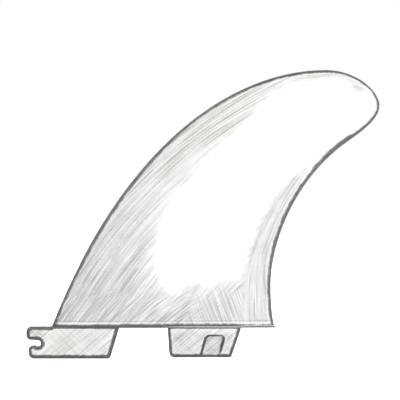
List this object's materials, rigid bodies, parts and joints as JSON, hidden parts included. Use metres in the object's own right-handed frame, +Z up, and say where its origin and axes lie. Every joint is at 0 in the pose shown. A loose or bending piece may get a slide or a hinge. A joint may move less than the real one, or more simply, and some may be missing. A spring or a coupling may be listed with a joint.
{
  "type": "surfboard fin",
  "caption": "Raked surfboard fin: a hydrofoil blade on a flat underside, with a hooked front tab and a pocketed rear tab that drop into the board's fin box.",
  "frame": {"origin": "on the flat underside of the blade, midway between the two tabs and in the middle of its thickness; this is the level of the board's surface", "axes": "+X to the rear, along the base; +Y across the blade; +Z up the blade, away from the board"},
  "size_m": [0.1692, 0.0084, 0.1383],
  "materials": {
    "glass_filled_nylon": "milky white nylon filled with long glass fibres, injection moulded; satin, with faint streaks where the fibres flowed"
  },
  "bodies": {
    "root": {"surfboard_fin": "glass_filled_nylon"}
  },
  "joints": []
}
